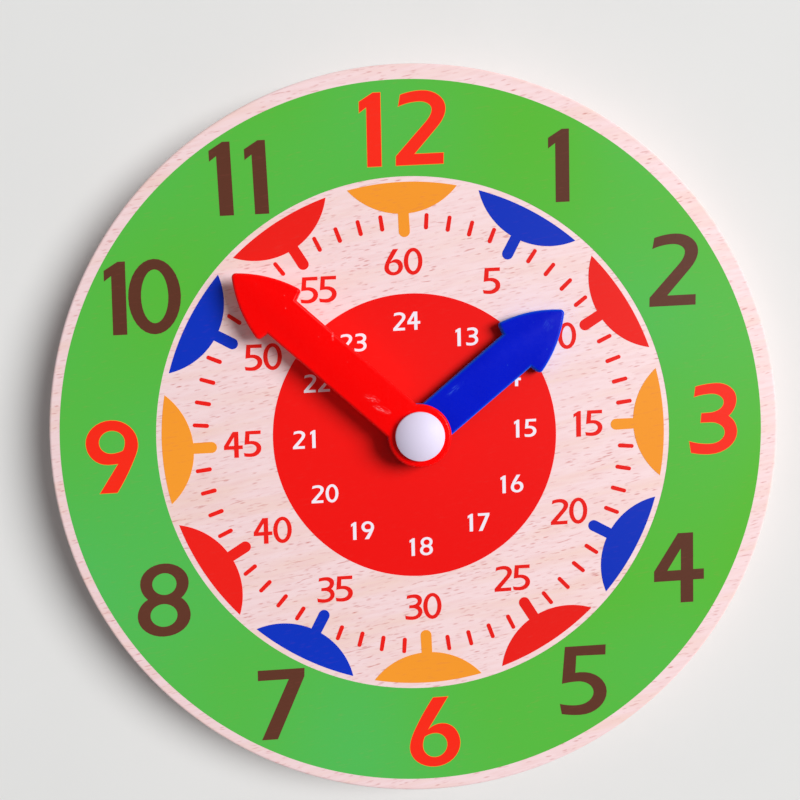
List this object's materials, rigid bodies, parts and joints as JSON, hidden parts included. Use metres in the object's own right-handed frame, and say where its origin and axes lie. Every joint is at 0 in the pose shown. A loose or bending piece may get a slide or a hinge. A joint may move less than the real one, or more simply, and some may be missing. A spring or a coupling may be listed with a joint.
{
  "type": "geared teaching clock",
  "caption": "Round wooden teaching clock: minute and hour hands on one axis, geared together by a hidden wheel train behind a numbered dial.",
  "frame": {"origin": "on the hand axis at the back face, which is the bottom centre of the clock lying on its back", "axes": "+Z out of the dial along the hand axis, +Y towards twelve, +X towards three"},
  "size_m": [0.145, 0.145, 0.0198],
  "materials": {
    "beech": "fine-sanded beech under a clear satin lacquer",
    "print_green": "screen-printed leaf green ink, satin",
    "print_red": "screen-printed warm red ink, satin",
    "print_orange": "screen-printed light orange ink, satin",
    "print_blue": "screen-printed deep blue ink, satin",
    "print_brown": "screen-printed brown ink, satin",
    "print_white": "screen-printed white ink, satin",
    "red_plastic": "moulded red plastic, glossy with fine scuffs",
    "blue_plastic": "moulded blue plastic, glossy with fine scuffs",
    "white_plastic": "moulded white plastic, glossy",
    "cover_plastic": "moulded off-white plastic with a fine spark texture",
    "gear_plastic": "natural acetal, smooth",
    "steel": "bright turned steel",
    "spring_steel": "blued spring steel"
  },
  "bodies": {
    "clock_body": {"clock_board": "beech", "centre_bush": "gear_plastic", "bush_ring": "gear_plastic", "gear_stud": "steel", "stud_washer": "gear_plastic", "friction_spring": "spring_steel", "back_cover": "cover_plastic", "cover_screw_1": "steel", "cover_screw_2": "steel", "cover_screw_3": "steel", "cover_screw_4": "steel"},
    "minute_train": {"minute_arbor": "steel", "minute_pinion": "gear_plastic", "minute_hand": "red_plastic", "centre_cap": "white_plastic"},
    "idler": {"compound_gear": "gear_plastic"},
    "hour_train": {"hour_wheel": "gear_plastic", "thrust_washer": "gear_plastic", "hour_hand": "blue_plastic", "hand_washer": "white_plastic"}
  },
  "joints": [
    {"name": "minute_spin", "type": "hinge", "parent": "clock_body", "child": "minute_train", "pos_m": [0, 0, 0], "axis": [0, 0, -1], "continuous": true},
    {"name": "idler_spin", "type": "hinge", "parent": "clock_body", "child": "idler", "pos_m": [0, -0.016, 0], "axis": [0, 0, -1], "continuous": true},
    {"name": "hour_spin", "type": "hinge", "parent": "clock_body", "child": "hour_train", "pos_m": [0, 0, 0], "axis": [0, 0, -1], "continuous": true}
  ],
  "couplings": [
    {"joint": "idler_spin", "follows": "minute_spin", "ratio": -0.33333},
    {"joint": "hour_spin", "follows": "minute_spin", "ratio": 0.083333}
  ]
}
